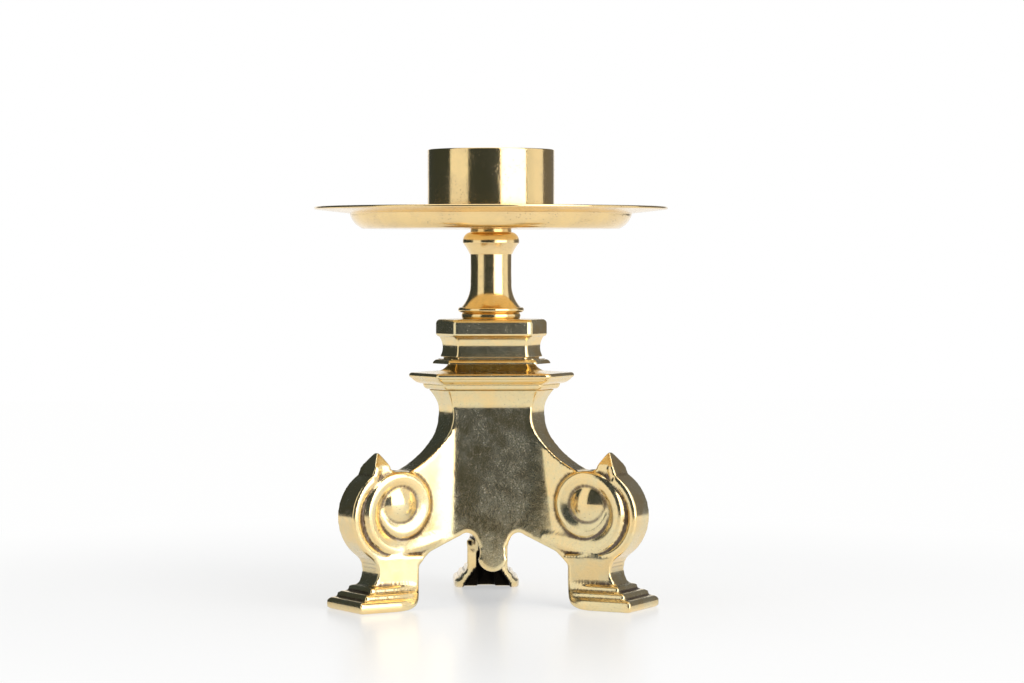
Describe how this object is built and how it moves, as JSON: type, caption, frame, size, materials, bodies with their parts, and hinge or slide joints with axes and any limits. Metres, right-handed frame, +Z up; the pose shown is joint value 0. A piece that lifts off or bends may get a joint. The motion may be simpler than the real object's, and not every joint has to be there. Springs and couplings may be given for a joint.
{
  "type": "pricket candle stand",
  "caption": "Low brass altar candle stand: hollow scroll-footed tripod base, stepped cornice, turned stem, loose drip pan and a short candle cup over a spike.",
  "frame": {"origin": "on the floor under the stand's axis", "axes": "+Z up along the stem, -Y towards the viewer of the front panel, +X to that viewer's right"},
  "size_m": [0.1392, 0.1392, 0.1783],
  "materials": {
    "cast_brass": "cast, filed and hand polished, worn",
    "turned_brass": "turned and polished",
    "sheet_brass": "spun sheet, polished, lightly pitted",
    "steel": "plain, dull"
  },
  "bodies": {
    "stand": {"side_panel_front": "cast_brass", "side_panel_right": "cast_brass", "side_panel_left": "cast_brass", "cornice": "cast_brass", "plinth_cap": "cast_brass", "stem_collar": "turned_brass", "stem": "turned_brass", "pricket": "turned_brass", "tie_rod": "steel", "clamp_plate": "steel", "washer": "steel", "nut": "steel"},
    "pan": {"drip_pan": "sheet_brass"},
    "cup": {"candle_cup": "turned_brass"}
  },
  "joints": [
    {"name": "pan_lift", "type": "slide", "parent": "stand", "child": "pan", "axis": [0, 0, 1], "range_m": [0, 0.04]},
    {"name": "cup_lift", "type": "slide", "parent": "pan", "child": "cup", "axis": [0, 0, 1], "range_m": [0, 0.035]}
  ]
}
